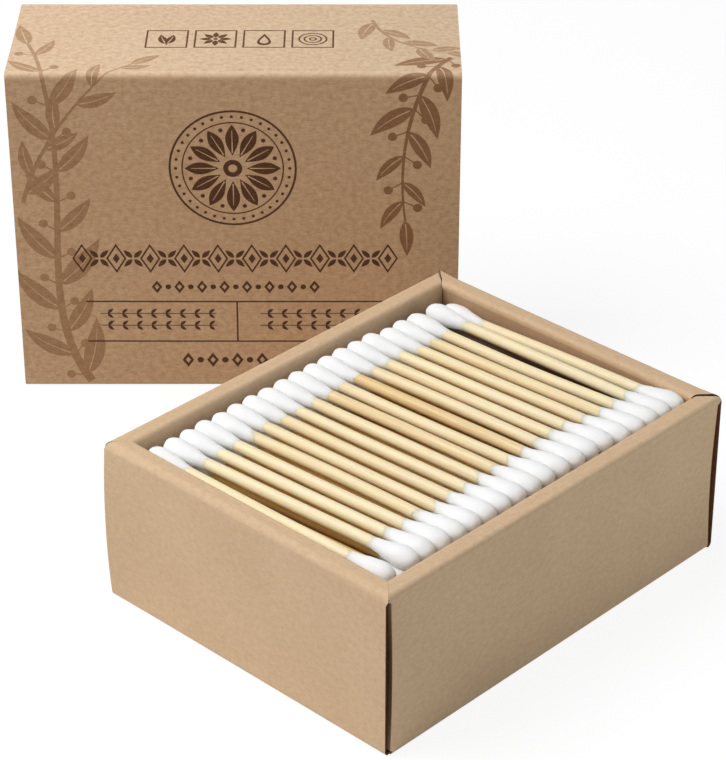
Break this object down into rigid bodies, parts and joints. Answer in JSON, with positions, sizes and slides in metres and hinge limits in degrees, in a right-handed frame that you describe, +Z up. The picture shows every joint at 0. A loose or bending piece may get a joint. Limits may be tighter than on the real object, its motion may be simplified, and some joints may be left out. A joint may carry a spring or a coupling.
{
  "type": "cotton swab box",
  "caption": "Opened pack of cotton swabs: a folded kraft card tray with rolled double walls, full of bamboo swabs in leaning layers, and its open-ended card sleeve standing behind it.",
  "frame": {"origin": "middle of the floor that the whole layout stands on: the centre of its bounding box, at the bottom", "axes": "+Z up, +X along the length of the sleeve, +Y from the near corner of the tray towards the sleeve"},
  "size_m": [0.1662, 0.193, 0.0867],
  "materials": {
    "kraft_board": "matte",
    "printed_board": "matte",
    "bamboo": "matte",
    "cotton": "matte"
  },
  "bodies": {
    "root": {"tray": "kraft_board", "sleeve": "printed_board", "sticks_layer_1": "bamboo", "sticks_layer_2": "bamboo", "sticks_layer_3": "bamboo", "sticks_layer_4": "bamboo", "sticks_layer_5": "bamboo", "sticks_layer_6": "bamboo", "sticks_layer_7": "bamboo", "sticks_layer_8": "bamboo", "sticks_layer_9": "bamboo", "top_stick_01": "bamboo", "top_stick_02": "bamboo", "top_stick_03": "bamboo", "top_stick_04": "bamboo", "top_stick_05": "bamboo", "top_stick_06": "bamboo", "top_stick_07": "bamboo", "top_stick_08": "bamboo", "top_stick_09": "bamboo", "top_stick_10": "bamboo", "top_stick_11": "bamboo", "top_stick_12": "bamboo", "top_stick_13": "bamboo", "top_stick_14": "bamboo", "top_stick_15": "bamboo", "top_stick_16": "bamboo", "top_stick_17": "bamboo", "top_stick_18": "bamboo", "top_stick_19": "bamboo", "top_stick_20": "bamboo", "heads_layer_1": "cotton", "heads_layer_2": "cotton", "heads_layer_3": "cotton", "heads_layer_4": "cotton", "heads_layer_5": "cotton", "heads_layer_6": "cotton", "heads_layer_7": "cotton", "heads_layer_8": "cotton", "heads_layer_9": "cotton", "top_heads_01": "cotton", "top_heads_02": "cotton", "top_heads_03": "cotton", "top_heads_04": "cotton", "top_heads_05": "cotton", "top_heads_06": "cotton", "top_heads_07": "cotton", "top_heads_08": "cotton", "top_heads_09": "cotton", "top_heads_10": "cotton", "top_heads_11": "cotton", "top_heads_12": "cotton", "top_heads_13": "cotton", "top_heads_14": "cotton", "top_heads_15": "cotton", "top_heads_16": "cotton", "top_heads_17": "cotton", "top_heads_18": "cotton", "top_heads_19": "cotton", "top_heads_20": "cotton"}
  },
  "joints": []
}
